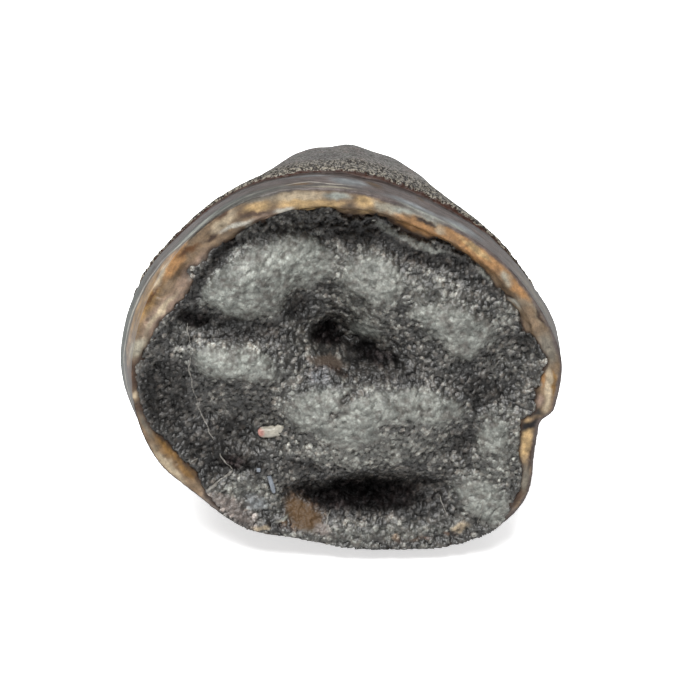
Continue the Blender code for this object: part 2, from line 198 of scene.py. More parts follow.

# Tones of the sand, partly its own and partly painted light: painted shade under the top rim, in the pit,
# the hollows and the groove, and painted highlight on the pale domes that face up.
# Each is what, x, z, half length, half width, and turn in degrees
SAND_TONES_AND_LIGHT = (
    ("dim", -1.5, 9.3, 6.5, 0.7, 2), ("black", -6.9, 7.5, 1.35, 0.85, 32),
    ("dark", 0.8, 8.9, 3.2, 1.1, -5), ("pale", -5.6, 5.3, 3.4, 2.1, 22),
    ("bright", -6.4, 4.8, 2.0, 0.9, 20), ("pale", -2.8, 6.9, 2.5, 1.7, 10),
    ("bright", -2.9, 6.9, 1.9, 1.1, 20), ("dark", -9.3, 4.8, 0.8, 0.5, 40),
    ("dark", -8.5, 6.2, 2.2, 0.5, 52), ("dark", -2.6, 4.1, 0.9, 1.2, -35),
    ("dark", -8.3, 3.2, 2.6, 0.8, -18), ("dark", -6.4, 2.3, 2.2, 0.6, 8),
    ("black", -9.3, 3.2, 0.9, 0.5, -12), ("dark", -4.6, 2.3, 1.8, 0.8, -10),
    ("pale", 2.1, 5.6, 2.0, 1.7, -20), ("mid", 4.6, 8.3, 1.4, 0.3, -20),
    ("dark", 6.0, 6.7, 3.2, 1.1, -26), ("mid", 6.1, 4.4, 2.4, 1.4, -28),
    ("pale", 7.4, 2.4, 2.3, 1.2, -14), ("dark", 9.6, 5.0, 1.1, 0.7, -40),
    ("pale", 3.0, 9.1, 1.1, 0.22, -38), ("pale", 5.2, 8.0, 1.5, 0.24, -20),
    ("pale", 8.5, 6.9, 0.9, 0.24, -30), ("pale", 9.4, 5.9, 0.9, 0.28, -44),
    ("mid", 10.3, 3.4, 0.9, 0.6, -55), ("pale", 5.7, 3.1, 1.4, 0.6, -22),
    ("mid", 1.9, 2.9, 1.2, 0.7, -20), ("mid", 0.9, 4.4, 1.2, 0.5, -30),
    ("dark", 3.0, -0.1, 3.0, 1.1, -12), ("black", -0.7, 2.1, 1.2, 0.85, -25),
    ("black", 2.1, 0.95, 1.9, 0.62, -18), ("pale", 1.5, 2.5, 0.9, 0.45, -35),
    ("tan_dim", -0.8, 0.35, 1.1, 0.42, -12), ("umber", -0.4, -0.3, 1.2, 0.25, -14),
    ("bluish", -1.2, -0.9, 0.8, 0.6, -60), ("pale", -7.0, 0.25, 3.2, 1.15, -8),
    ("bright", -7.0, 0.3, 1.9, 0.7, -5), ("dark", -11.0, -1.8, 2.2, 3.4, 0),
    ("dim", -6.0, -1.6, 3.2, 0.8, 0), ("pale", -1.4, -2.8, 2.1, 1.4, -10),
    ("pale", 1.4, -3.2, 2.4, 1.8, 0), ("pale", 5.3, -2.7, 2.3, 1.1, -12), ("mid", 2.2, -4.9, 4.4, 0.8, 0),
    ("pale", 0.6, -4.5, 1.8, 0.5, 0), ("dim", 0.8, -1.9, 0.8, 0.3, 20),
    ("dim", 3.4, -4.1, 1.0, 0.28, -15), ("dim", -0.3, -3.1, 0.5, 0.25, 35),
    ("mid", 1.0, -6.0, 4.6, 0.6, 0), ("dark", -2.4, -6.6, 1.8, 0.5, -12),
    ("dark", -6.9, -4.2, 1.6, 1.1, -30), ("dark", -6.1, -6.2, 1.5, 1.0, -20),
    ("dark", -8.5, -5.4, 1.6, 2.2, 30), ("dark", 8.9, -1.6, 2.3, 1.2, -20),
    ("dark", 7.9, -5.1, 1.5, 0.8, 6), ("pale", 7.7, 1.2, 1.3, 0.7, -10), ("mid", 9.8, -3.3, 1.4, 0.5, 0),
    ("dim", 10.6, 1.0, 1.4, 0.9, 0), ("dark", 11.5, 1.5, 0.9, 0.8, 0), ("mid", 9.9, -5.8, 1.3, 2.4, -15),
    ("pale", 9.7, -4.6, 0.9, 0.9, 0), ("dark", 1.2, -8.7, 6.8, 1.5, 2), ("black", 1.2, -8.7, 6.2, 1.1, 2),
    ("dark", 6.8, -8.4, 1.8, 0.7, 0), ("dark", 2.8, -9.95, 4.6, 0.35, 4),
    ("mid", -5.8, -8.3, 1.9, 1.0, -20), ("black", -6.8, -6.3, 1.0, 0.7, 0),
    ("dim", 2.0, -10.4, 5.6, 0.35, 3), ("mid", 2.0, -11.2, 5.8, 0.65, 3),
    ("pale", 9.0, -8.9, 1.9, 1.2, -35), ("rose_grey", -7.0, -9.3, 1.7, 0.5, -36),
    ("blue_grey", -5.6, -9.0, 0.7, 0.35, -30), ("cream", -5.2, -10.4, 0.45, 0.22, -10),
    ("sea_pale", -4.0, -9.9, 0.7, 0.12, 30), ("rust", -2.4, -9.7, 1.5, 0.85, -42),
    ("rust", -3.4, -10.35, 0.9, 0.3, -15), ("umber", -4.0, -10.5, 1.1, 0.14, -18),
    ("rose_grey", -1.1, -10.9, 0.6, 0.35, -25), ("cream", 7.7, -10.7, 0.42, 0.32, 30),
    ("brown", 7.1, -11.25, 0.4, 0.18, 0), ("tan", 3.4, -11.5, 0.35, 0.25, 0),
    ("brown", 3.7, -11.75, 0.3, 0.12, 0), ("tan", 4.8, -11.75, 0.4, 0.16, 0),
    ("brown", 5.3, -11.8, 0.25, 0.12, 0),
)
# Where the sand gave way to a smooth film: x, z, half length, half width, and turn in degrees
SMOOTH_FILMS = ((-2.5, -9.8, 1.5, 0.9, -42), (-0.7, 0.3, 1.0, 0.4, -12))

# Stains on the collar's outside: what, angle, distance from the base, and half the size of each.
# The sea_pale spots, and the blue_grey ones at 48.5 and 66 degrees, are painted highlight on the rim's
# shoulder
COLLAR_STAINS_AND_HIGHLIGHT = (
    ("sea_grey", 150.0, 0.7, 45.0, 0.9), ("sea_grey", 176.0, 2.6, 24.0, 0.9),
    ("sea_pale", 137.0, 0.9, 9.0, 0.25), ("umber", 180.0, 4.3, 24.0, 0.9),
    ("mauve_brown", 100.0, 4.4, 40.0, 0.8), ("blue_grey", 101.0, 3.1, 8.0, 0.3),
    ("blue_grey", 87.5, 1.9, 5.0, 0.7), ("rust", 79.0, 2.5, 2.2, 0.6), ("rust", 103.0, 1.0, 4.0, 0.3),
    ("ivory", 92.0, 0.3, 6.0, 0.2), ("mauve_brown", 50.0, 3.9, 20.0, 0.9),
    ("blue_grey", 66.0, 0.95, 9.0, 0.5), ("sea_pale", 61.0, 0.25, 8.0, 0.3),
    ("blue_grey", 48.5, 1.2, 6.5, 0.6), ("sea_pale", 50.0, 0.7, 3.0, 0.3), ("rust", 63.0, 3.0, 2.0, 0.4),
    ("grey_tan", 16.0, 1.2, 12.0, 1.0), ("mauve_brown", -4.0, 1.6, 14.0, 1.4),
    ("umber", -30.0, 0.9, 16.0, 0.9),
)
# The fine pale line along the collar, a painted highlight on its rounded shoulder: angle, and distance from
# the base
PALE_HIGHLIGHT_LINE = (
    (88.0, 1.1), (93.0, 1.0), (99.0, 1.5), (110.0, 1.0), (123.0, 0.65), (138.0, 0.6), (150.0, 1.6),
    (178.0, 1.9), (200.0, 0.5),
)
# How far the wall's stains run on over the rim: angle, and distance from the base
OVER_RIM = ((135.0, 0.0), (149.0, 1.3), (176.0, 1.6), (192.0, 0.0))

# Foreign bits in the sand: where they show, x and z, and their size across, deep and high
CHIP_AT, CHIP_SIZE, CHIP_TURN = (-4.4, -4.2), (1.75, 0.5, 0.66), 11.0
CHIP_BOW = 0.14
ROD_AT, ROD_SIZE, ROD_TURN = (-4.5, -7.65), (0.3, 0.3, 1.4), 15.0
BEAD_AT, BEAD_SIZE = (-5.3, -6.75), (0.26, 0.26, 0.26)

# Pale hairlines over the sand: the radius, and x and z along each
VEINS = (
    (
        0.045,
        ((-9.6, 3.1), (-9.5, 1.4), (-9.4, -1.2), (-9.05, -2.5), (-8.55, -3.8), (-7.9, -5.4), (-6.9, -6.8)),
    ),
    (0.09, ((-6.9, -6.8), (-7.8, -7.4), (-8.7, -8.2))),
    (0.05, ((-9.8, -6.3), (-9.2, -5.9))),
    (0.045, ((-0.8, -9.5), (-1.0, -11.0))),
    (0.035, ((1.55, -9.4), (1.5, -10.8))),
    (0.03, ((3.2, -9.6), (3.1, -10.7))),
    (0.035, ((6.4, -8.7), (6.9, -10.5))),
    (0.04, ((9.1, -9.0), (8.8, -10.6))),
)
TUBE_SIDES = 6
TUBE_STEP = 0.12

# Sand grains: how far apart, how far out of row, their radii, and how proud they stand
GRAIN_APART = 0.26
GRAIN_SCATTER = 0.8
GRAIN_RADII = (0.11, 0.2)
GRAIN_PROUD = 1.15
# How much longer than wide the longest grains are, which way they lie, and how far that swings
GRAIN_LONGER = 0.4
GRAIN_LIE = math.radians(25.0)
GRAIN_SWING = 2.2
# The grains' bed: how high it lies, and its tint
BED_HEIGHT = -0.03
BED_TINT = 0.3


def to_tooth(points):
    """World metres to millimetres in the tooth's own frame, as x, s, z."""
    p = (np.asarray(points, float) - np.array(BASE_CENTRE)) / MM
    c, s = math.cos(PITCH), math.sin(PITCH)
    return np.stack((p[:, 0], p[:, 1] * c - p[:, 2] * s, p[:, 1] * s + p[:, 2] * c), 1)


def to_world(points):
    """Millimetres in the tooth's own frame to world metres."""
    x, along, z = np.asarray(points, float).T
    c, s = math.cos(PITCH), math.sin(PITCH)
    p = np.stack((x, along * c + z * s, -along * s + z * c), 1)
    return p * MM + np.array(BASE_CENTRE)


def smooth_step(low, high, value):
    """Rises smoothly from 0 at low to 1 at high."""
    t = np.clip((value - low) / (high - low), 0.0, 1.0)
    return t * t * (3.0 - 2.0 * t)


def bell(distance, spread):
    """A smooth bump: 1 at no distance, falling away over the spread."""
    return np.exp(-((distance / spread) ** 2))


def look_up(table, angle, period=None):
    """A table's value at an angle in degrees."""
    return np.interp(angle, *zip(*table), period=period)


def turned_by(degrees):
    """The cosine and the sine of an angle in degrees."""
    return math.cos(math.radians(degrees)), math.sin(math.radians(degrees))


def rough(points, size, seed=0.0, octaves=2):
    """Fractal noise about 0, between about -1 and 1, with bumps of that size in millimetres."""
    spots = (np.asarray(points, float) / size + seed * 7.31).tolist()
    return np.array([noise.fractal(p, 1.0, 2.1, octaves) for p in spots])


def margin_place(angle):
    """How far the enamel's margin lies from the base, in millimetres."""
    waves = [h * np.cos(np.radians(n * angle + turn)) for n, turn, h in MARGIN_WAVES]
    return MARGIN + sum(waves)


def angle_of(places):
    """The angle anticlockwise from +X, in degrees, seen from the front of the base."""
    return np.degrees(np.arctan2(places[:, 2], places[:, 0])) % 360.0


def radius_of(places, least=0.0):
    """How far points lie from the tooth's axis, but no less than the least."""
    return np.maximum(np.hypot(places[:, 0], places[:, 2]), least)


def rows_of(items, name):
    """Three numbers for each item of a mesh."""
    rows = np.empty(len(items) * 3)
    items.foreach_get(name, rows)
    return rows.reshape(-1, 3)


def places_of(piece):
    """A piece's vertices, in world metres."""
    return rows_of(piece.data.vertices, "co")


def normals_of(piece):
    """The vertex normals of a piece."""
    return rows_of(piece.data.vertex_normals, "vector")


def set_places(piece, points):
    """Moves a piece's vertices to world places in metres."""
    piece.data.vertices.foreach_set("co", np.asarray(points, float).ravel())
    piece.data.update()


def keep(piece, name, kind, field, rows):
    """Stores something for each vertex, for the materials to read."""
    attribute = piece.data.attributes.new(name, kind, "POINT")
    attribute.data.foreach_set(field, np.asarray(rows, np.float32).ravel())


def keep_values(piece, name, values):
    """Stores one number for each vertex."""
    keep(piece, name, "FLOAT", "value", values)


def keep_colours(piece, name, colours):
    """Stores a colour for each vertex."""
    rows = np.concatenate((np.clip(colours, 0.0, 1.0), np.ones((len(colours), 1))), 1)
    keep(piece, name, "FLOAT_COLOR", "color", rows)


def keep_ways(piece, name, places, rise):
    """Stores places wrapped round the tooth, with a rise across them."""
    radius = radius_of(places, 0.1)
    rows = np.stack((places[:, 0] / radius * WRAP_RADIUS, rise, places[:, 2] / radius * WRAP_RADIUS), 1)
    keep(piece, name, "FLOAT_VECTOR", "vector", rows)


def select_only(piece):
    """Leaves one object selected and active."""
    bpy.ops.object.select_all(action="DESELECT")
    piece.select_set(True)
    bpy.context.view_layer.objects.active = piece


def apply_modifier(piece, name, kind, **settings):
    """Adds a modifier and applies it."""
    select_only(piece)
    modifier = piece.modifiers.new(name, kind)
    for key, value in settings.items():
        setattr(modifier, key, value)
    bpy.ops.object.modifier_apply(modifier=modifier.name)


def edit(piece, *steps):
    """Runs steps in edit mode on everything in a piece."""
    select_only(piece)
    bpy.ops.object.mode_set(mode="EDIT")
    bpy.ops.mesh.select_mode(type="VERT")
    bpy.ops.mesh.select_all(action="SELECT")
    for step in steps:
        step()
    bpy.ops.object.mode_set(mode="OBJECT")


def outline(along):
    """The radius of the tooth's outside at each whole degree, at a distance from the base."""
    radii = []
    for angle in range(360):
        c, s = turned_by(angle)
        way = Vector((c, 0.0, s))
        hit = SOLID.ray_cast(way * PAST_TOOTH + Vector((0.0, along, 0.0)), -way)[0]
        radii.append(math.hypot(hit.x, hit.z))
    return np.array(radii)


def depth_inside(places):
    """How far points lie under the tooth's outside, in millimetres, near the base."""
    angle = angle_of(places)
    near = np.clip(places[:, 1], OUTLINE_AT[0], OUTLINE_AT[-1])
    step = np.interp(near, OUTLINE_AT, np.arange(len(OUTLINE_AT)))
    low = np.minimum(step.astype(int), len(OUTLINE_AT) - 2)
    a = angle.astype(int) % 360
    b = (a + 1) % 360
    turn, up = angle - np.floor(angle), step - low
    first = OUTLINES[low, a] * (1 - turn) + OUTLINES[low, b] * turn
    second = OUTLINES[low + 1, a] * (1 - turn) + OUTLINES[low + 1, b] * turn
    return first * (1 - up) + second * up - radius_of(places)


def wall_width(places, angle):
    """The ragged width of the wall's edge that shows around the sand."""
    flat = places * (1.0, 0.0, 1.0)
    ragged = rough(flat, 1.7, 1.0, 3) * WALL_RAGGED
    width = look_up(WALL_WIDTH, angle, 360.0)
    return np.maximum(width * (1.0 + ragged * 1.2) + ragged * 0.5 * smooth_step(0.1, 0.6, width), -0.15)


def mix_rows(a, b, share):
    """Mixes two sets of colours, by a share for each place."""
    share = np.asarray(share)[:, None]
    return a * (1.0 - share) + b * share


def blend(colours, what, share):
    """Mixes a named colour in."""
    return mix_rows(colours, np.array(COLOURS[what]), share)


def plain(what, places):
    """One named colour for every place."""
    return np.tile(COLOURS[what], (len(places), 1))


def spot_share(across, up, x, z, half_long, half_wide, turn, blur):
    """Where a soft-edged spot lies, on two flat coordinates: 0 outside it, 1 inside."""
    c, s = turned_by(turn)
    dx, dz = across - x, up - z
    reach = np.hypot((dx * c + dz * s) / half_long, (dz * c - dx * s) / half_wide)
    return smooth_step(1.0 + blur, 1.0 - blur, reach)


def lay_stains(colours, across, up, rows, blur):
    """Lays soft-edged stains over colours, one after another."""
    for what, *spot in rows:
        colours = blend(colours, what, spot_share(across, up, *spot, blur))
    return colours


def ray_tree(piece):
    """A piece's faces, ready for rays in the tooth's own frame."""
    faces = [tuple(face.vertices) for face in piece.data.polygons]
    return BVHTree.FromPolygons(to_tooth(places_of(piece)).tolist(), faces)


SOLID = ray_tree(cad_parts[NODE])
OUTLINE_AT = (0.03, 0.3, 0.8, 1.5, 3.0, 5.0, 7.5)
OUTLINES = np.array([outline(along) for along in OUTLINE_AT])


def copy_of_frame(name):
    """A merged, smoothed copy of the tooth's solid, with its sharp edges kept."""
    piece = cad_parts[NODE].copy()
    piece.data = piece.data.copy()
    piece.name = piece.data.name = name
    for key in list(piece.keys()):
        del piece[key]
    piece.parent = None
    piece.data.materials.clear()
    bpy.context.scene.collection.objects.link(piece)
    edit(
        piece,
        lambda: bpy.ops.mesh.remove_doubles(threshold=MERGE_WITHIN),
        lambda: bpy.ops.mesh.tris_convert_to_quads(),
        lambda: bpy.ops.mesh.normals_make_consistent(inside=False),
    )
    crease_sharp_edges(piece)
    apply_modifier(piece, "smooth_form", "SUBSURF", levels=2, render_levels=2)
    return piece


def crease_sharp_edges(piece):
    """Creases the rim, the enamel's edge and the notch, so that smoothing keeps them."""
    mesh = bmesh.new()
    mesh.from_mesh(piece.data)
    crease = mesh.edges.layers.float.new("crease_edge")
    for edge in mesh.edges:
        if edge.calc_face_angle(0.0) > SHARP_ANGLE:
            edge[crease] = CREASE
    mesh.to_mesh(piece.data)
    mesh.free()


def cut_across(piece, along, keep_front):
    """Cuts a piece across the axis at a distance from the base, and closes the cut."""
    place = Vector(to_world([(0.0, along, 0.0)])[0])
    ahead = Vector(to_world([(0.0, along + 1.0, 0.0)])[0]) - place
    edit(
        piece,
        lambda: bpy.ops.mesh.bisect(
            plane_co=place,
            plane_no=ahead.normalized(),
            use_fill=True,
            clear_outer=keep_front,
            clear_inner=not keep_front,
        ),
    )


def layer_of_frame(name, along, keep_front, cell):
    """A piece of the tooth in front of a cut or behind it, in an even mesh of small faces."""
    piece = copy_of_frame(name)
    cut_across(piece, along, keep_front)
    apply_modifier(piece, "even_mesh", "REMESH", mode="VOXEL", voxel_size=cell * MM, use_smooth_shade=True)
    apply_modifier(piece, "soften", "SMOOTH", factor=0.5, iterations=3)
    return piece


def thin_out(piece, weights=None):
    """Brings a piece under the limit of triangles, first where the weights are high."""
    count = sum(len(face.vertices) - 2 for face in piece.data.polygons)
    if count <= MOST_TRIANGLES:
        return
    settings = {"ratio": MOST_TRIANGLES / count}
    if weights is not None:
        group = piece.vertex_groups.new(name="thin")
        for i in np.nonzero(weights > 0.0)[0].tolist():
            group.add([i], float(weights[i]), "REPLACE")
        settings["vertex_group"] = "thin"
        settings["vertex_group_factor"] = 1.0
    apply_modifier(piece, "thin_out", "DECIMATE", **settings)
    piece.vertex_groups.clear()


def push(piece, distance):
    """Moves each vertex along its normal, by millimetres."""
    set_places(piece, places_of(piece) + normals_of(piece) * (np.asarray(distance) * MM)[:, None])


def sideways(places, distance):
    """Moves points straight away from the axis, by millimetres."""
    return places + places * (1.0, 0.0, 1.0) * (distance / radius_of(places, 0.1))[:, None]


def wrapped(places, scale):
    """Points for noise that is stretched around the tooth: the smaller the scale, the longer."""
    spread = scale * WRAP_RADIUS / radius_of(places, 1.0)
    return np.stack((places[:, 0] * spread, places[:, 1], places[:, 2] * spread), 1)


def shape_root(piece):
    """The root's collar and the broken wall around the sand."""
    places = to_tooth(places_of(piece))
    angle = angle_of(places)
    inward = depth_inside(places)
    outside = smooth_step(0.14, 0.06, inward)
    width = wall_width(places, angle)

    # the collar sinks under the enamel at the margin
    beyond = smooth_step(-0.05, 0.12, places[:, 1] - margin_place(angle))
    places = sideways(places, -0.5 * beyond * outside)
    # where the sand covers the root, it lies deeper
    hidden = smooth_step(0.25, 0.9, inward - width) * (places[:, 1] < MARGIN - 0.6)
    places[:, 1] += 1.1 * hidden
    set_places(piece, to_world(places))

    face = (1.0 - outside) * (1.0 - hidden)
    growth = rough(wrapped(places, 0.06), 0.42, 3.0, 3)
    flakes = rough(wrapped(places, 0.35), 1.1, 4.0, 3)
    ring = np.stack((places[:, 0] * 0.2, inward, places[:, 2] * 0.2), 1)
    streaks = rough(ring, 0.3, 5.0, 3)
    chips = np.abs(rough(places, 0.55, 6.0, 3))
    height = outside * (0.02 * growth + 0.05 * flakes)
    dents = 0.22 * np.maximum(chips - 0.35, 0.0)
    height += face * (0.06 * streaks - dents + 0.08 * rough(places, 1.6, 7.0))
    push(piece, height)
    return hidden


def colour_root(piece):
    """The stains of the wall and of the collar."""
    places = to_tooth(places_of(piece))
    angle = angle_of(places)
    inward = depth_inside(places)
    past = inward - wall_width(places, angle)

    warp = rough(places, 0.9, 21.0, 3) * 0.22, rough(places, 0.9, 22.0, 3) * 0.22
    wall = plain("tan", places)
    wall = blend(wall, "dim", smooth_step(-10.2, -11.4, places[:, 2]))
    seen_up = places[:, 2] + SEEN_HIGHER * places[:, 1]
    wall = lay_stains(wall, places[:, 0] + warp[0], seen_up + warp[1], WALL_STAINS_AND_NOTCH_SHADE, 0.5)
    wall = wall * np.exp(0.4 * rough(places, 0.55, 25.0, 3))[:, None]

    along = places[:, 1] + 0.3 * rough(wrapped(places, 0.12), 1.2, 23.0, 3)
    turned = (angle + 60.0) % 360.0 - 60.0
    rows = [(*row, 0.0) for row in COLLAR_STAINS_AND_HIGHLIGHT]
    waved = turned + 2.5 * rough(places, 1.1, 24.0, 3)
    collar = lay_stains(plain("mauve", places), waved, along, rows, 0.6)
    # A painted highlight: the fine pale line along the collar's rounded shoulder
    on_highlight_line = bell(places[:, 1] - look_up(PALE_HIGHLIGHT_LINE, turned), 0.08)
    shown = smooth_step(84.0, 92.0, turned) * smooth_step(205.0, 190.0, turned)
    collar = blend(collar, "white", 0.7 * (on_highlight_line * shown))
    over_rim = look_up(OVER_RIM, turned) + 0.4 * warp[0]
    past_rim = places[:, 1] - over_rim
    near_rim = bell(past_rim, 0.14) * smooth_step(115.0, 130.0, turned)
    collar = blend(collar, "umber", 0.85 * near_rim)
    stained = smooth_step(0.12, -0.12, past_rim) * smooth_step(0.1, 0.5, over_rim)
    collar = mix_rows(collar, wall, stained)
    to_margin = margin_place(angle) - places[:, 1]
    collar = blend(collar, "red_brown", smooth_step(0.18, 0.06, to_margin))
    keep_colours(piece, "collar_colour", collar)

    near_collar = smooth_step(0.32, 0.1, inward + 0.5 * warp[0]) * smooth_step(125.0, 112.0, turned)
    wall = mix_rows(wall, collar, near_collar)
    # The wall turns umber where its edge drops to the sand: partly dark stone, partly painted shade on that
    # flank
    wall = blend(wall, "umber", smooth_step(-0.3, 0.05, past + 0.6 * warp[0]))
    keep_colours(piece, "wall_colour", wall)
    keep_values(piece, "inward", np.where(places[:, 1] > 3.0, 0.0, inward))
    keep_ways(piece, "around", places, places[:, 1])
    keep_ways(piece, "ring", places, radius_of(places))


def add_root():
    """The root: collar and wall."""
    piece = layer_of_frame("root_and_wall", MARGIN + ROOT_UNDER, True, ROOT_CELL)
    hidden = shape_root(piece)
    back = to_tooth(places_of(piece))[:, 1] > MARGIN + 1.0
    thin_out(piece, np.clip(hidden + back, 0.0, 1.0))
    colour_root(piece)
    return piece


def add_crown():
    """The enamel crown, wrinkled from the margin to the tip."""
    piece = layer_of_frame("enamel_crown", MARGIN - CROWN_OVER, False, CROWN_CELL)
    places = to_tooth(places_of(piece))
    below = smooth_step(0.1, -0.12, places[:, 1] - margin_place(angle_of(places)))
    places = sideways(places, -0.55 * below)
    set_places(piece, to_world(places))
    on_enamel = 1.0 - below
    fade = 1.0 - 0.7 * smooth_step(MARGIN + 5.0, MARGIN + 9.0, places[:, 1])
    wrinkle = rough(places * (1.0, 0.3, 1.0), 0.42, 8.0, 3)
    ridged = 1.0 - 2.0 * np.abs(wrinkle)
    lumps = rough(places * (0.8, 0.35, 0.8), 2.4, 9.0, 3)
    push(piece, on_enamel * (0.1 * fade * ridged + 0.07 * lumps))
    thin_out(piece)
    places = to_tooth(places_of(piece))
    keep_values(piece, "to_margin", margin_place(angle_of(places)) - places[:, 1])
    return piece


def splat_grains(x, z, seed, height, tint):
    """Lays rounded grains over a height map, each an ellipsoid, and gives each grain a tint."""
    random = np.random.default_rng(seed)
    rows = np.arange(z[0], z[-1], GRAIN_APART * math.sqrt(0.75))
    for row, mid_z in enumerate(rows):
        for mid_x in np.arange(x[0] + 0.5 * GRAIN_APART * (row % 2), x[-1], GRAIN_APART):
            draws = random.random(8)
            cx = mid_x + (draws[0] - 0.5) * GRAIN_APART * GRAIN_SCATTER
            cz = mid_z + (draws[1] - 0.5) * GRAIN_APART * GRAIN_SCATTER
            size = GRAIN_RADII[0] + (GRAIN_RADII[1] - GRAIN_RADII[0]) * draws[2] ** 1.3
            long = 1.0 + GRAIN_LONGER * draws[3]
            turn = GRAIN_LIE + draws[4] * GRAIN_SWING - GRAIN_SWING / 2
            i0, i1 = np.searchsorted(x, (cx - size * long, cx + size * long))
            j0, j1 = np.searchsorted(z, (cz - size * long, cz + size * long))
            if i1 - i0 < 2 or j1 - j0 < 2:
                continue
            dx, dz = x[i0:i1][None, :] - cx, z[j0:j1][:, None] - cz
            a = (dx * math.cos(turn) + dz * math.sin(turn)) / (size * long)
            b = (dz * math.cos(turn) - dx * math.sin(turn)) / size
            inside = 1.0 - a * a - b * b
            dome = size * GRAIN_PROUD * np.sqrt(np.maximum(inside, 0.0)) + (draws[5] - 0.6) * 0.09
            window = height[j0:j1, i0:i1]
            wins = (inside > 0.0) & (dome > window)
            window[wins] = dome[wins]
            tint[j0:j1, i0:i1][wins] = draws[6]


def sand_depth(x, z):
    """How far behind the base's plane the frame's surface lies, over a grid."""
    depth = np.zeros((len(z), len(x)))
    for j, up in enumerate(z.tolist()):
        for i, across in enumerate(x.tolist()):
            hit = SOLID.ray_cast((across, IN_FRONT, up), INTO_BASE)[0]
            if hit is not None:
                depth[j, i] = min(hit.y, FORM_DEEPEST)
    return depth


def blurred(field, cells):
    """A height map blurred over a number of cells."""
    reach = int(3 * cells)
    weights = np.exp(-0.5 * (np.arange(-reach, reach + 1) / cells) ** 2)
    weights /= weights.sum()
    for axis in (0, 1):
        edges = [(reach, reach) if a == axis else (0, 0) for a in (0, 1)]
        padded = np.pad(field, edges, mode="edge")
        field = np.apply_along_axis(np.convolve, axis, padded, weights, mode="valid")
    return field


def colour_grains(places, colours, grains, tint, paleness, film):
    """Works the grains into the sand's tones: their tints, blotches and gaps, and painted shade in the
    crevices.
    """
    shade = 1.0 + (2.6 * tint**3 - 0.65) * (1.0 - 0.75 * paleness) * (1.0 - film)
    colours = colours * shade[:, None]
    blotches = rough(places, 1.1, 14.0, 4) * (1.0 - film)
    colours = colours * np.exp((1.1 - 0.4 * paleness) * blotches)[:, None]
    colours = blend(colours, "dim", 0.4 * paleness * smooth_step(0.0, 0.45, blotches))
    gaps = smooth_step(0.05, 0.5, rough(places * (1.0, 1.0, 1.4), 0.55, 15.0, 3))
    colours = blend(colours, "mauve_brown", 0.5 * paleness * gaps)
    # Painted shade in the low places between the grains: darker in pale sand, near black in dark sand
    crevice_shade = smooth_step(0.07, -0.02, grains) * (1.0 - film)
    colours = colours * (1.0 - 0.5 * crevice_shade * paleness)[:, None]
    return blend(colours, "black", 0.6 * crevice_shade * (1.0 - paleness))


def add_grid(name, x, z, depth):
    """A height map as a piece: the piece, and which cell of the map each vertex took."""
    bpy.ops.object.select_all(action="DESELECT")
    bpy.ops.mesh.primitive_grid_add(x_subdivisions=len(x) - 1, y_subdivisions=len(z) - 1, size=1.0)
    piece = bpy.context.active_object
    piece.name = piece.data.name = name
    flat = places_of(piece)
    i = np.rint((flat[:, 0] + 0.5) * (len(x) - 1)).astype(int)
    j = np.rint((flat[:, 1] + 0.5) * (len(z) - 1)).astype(int)
    order = j * len(x) + i
    set_places(piece, to_world(np.stack((x[i], depth[order], z[j]), 1)))
    return piece, order


def add_sand():
    """The packed sand in the pulp cavity: a plug whose front is a skin of rounded grains."""
    x = np.arange(*SAND_ACROSS, SAND_CELL)
    z = np.arange(*SAND_UP, SAND_CELL)
    grid_x, grid_z = np.meshgrid(x, z)
    places = np.stack((grid_x.ravel(), np.full(grid_x.size, 0.03), grid_z.ravel()), 1)
    inward = depth_inside(places)
    width = wall_width(places, angle_of(places))
    past = inward - width
    form = blurred(sand_depth(x, z), FORM_BLUR / SAND_CELL).ravel()
    grains = np.full(grid_x.shape, BED_HEIGHT)
    tint = np.full(grid_x.shape, BED_TINT)
    splat_grains(x, z, 11, grains, tint)
    worn, grains, tint = blurred(grains, GRAIN_WEAR).ravel(), grains.ravel(), tint.ravel()

    warp = [0.4 * rough(places, 1.6, seed, 4) for seed in (31.0, 32.0)]
    spot = places[:, 0] + warp[0], places[:, 2] + SEEN_HIGHER * form + warp[1]
    # The sand's tones, with their painted shade and painted highlight
    colours = lay_stains(plain("dim", places), *spot, SAND_TONES_AND_LIGHT, 0.5)
    film = np.max([spot_share(*spot, *row, 0.3) for row in SMOOTH_FILMS], axis=0)
    tone = colours.mean(1)
    paleness = smooth_step(0.05, 0.14, tone)
    softness = np.maximum(0.7 * paleness, 0.95 * film)
    grains += softness * (worn - grains)
    colours = colour_grains(places, colours, grains, tint, paleness, film)
    gloss = smooth_step(0.003, 0.03, tone) * (1.0 - 0.6 * paleness) * (1.0 - 0.75 * film)

    # pale tones stand proud, and the skin sinks behind the wall where that is wide enough
    rise = 0.55 * (smooth_step(0.01, 0.18, tone) - 0.4)
    rise = blurred(rise.reshape(grid_x.shape), RISE_BLUR / SAND_CELL).ravel()
    lumps = 0.16 * rough(places, 1.5, 12.0, 3) + 0.12 * rough(places, 0.6, 13.0, 2)
    within = smooth_step(0.2, 1.2, past)
    sunk = 0.55 * smooth_step(0.12, -0.3, past) * smooth_step(0.15, 0.5, width)
    depth = np.minimum(form + BED_HEIGHT - grains - (lumps + rise) * within + sunk, SKIN_DEEPEST)

    piece, order = add_grid("packed_sand", x, z, depth)
    keep_colours(piece, "sand_colour", colours[order])
    keep_values(piece, "gloss", gloss[order])
    keep_values(piece, "worn", softness[order])
    rim = 0.02 + 0.08 * smooth_step(0.0, 0.4, width)
    remove_vertices(piece, (past < -0.45)[order] | (inward < rim)[order])
    close_behind(piece)
    return piece


def remove_vertices(piece, chosen):
    """Deletes the chosen vertices."""
    mesh = bmesh.new()
    mesh.from_mesh(piece.data)
    gone = [v for v, picked in zip(mesh.verts, chosen.tolist()) if picked]
    bmesh.ops.delete(mesh, geom=gone, context="VERTS")
    loose = [v for v in mesh.verts if not v.link_faces]
    bmesh.ops.delete(mesh, geom=loose, context="VERTS")
    mesh.to_mesh(piece.data)
    mesh.free()


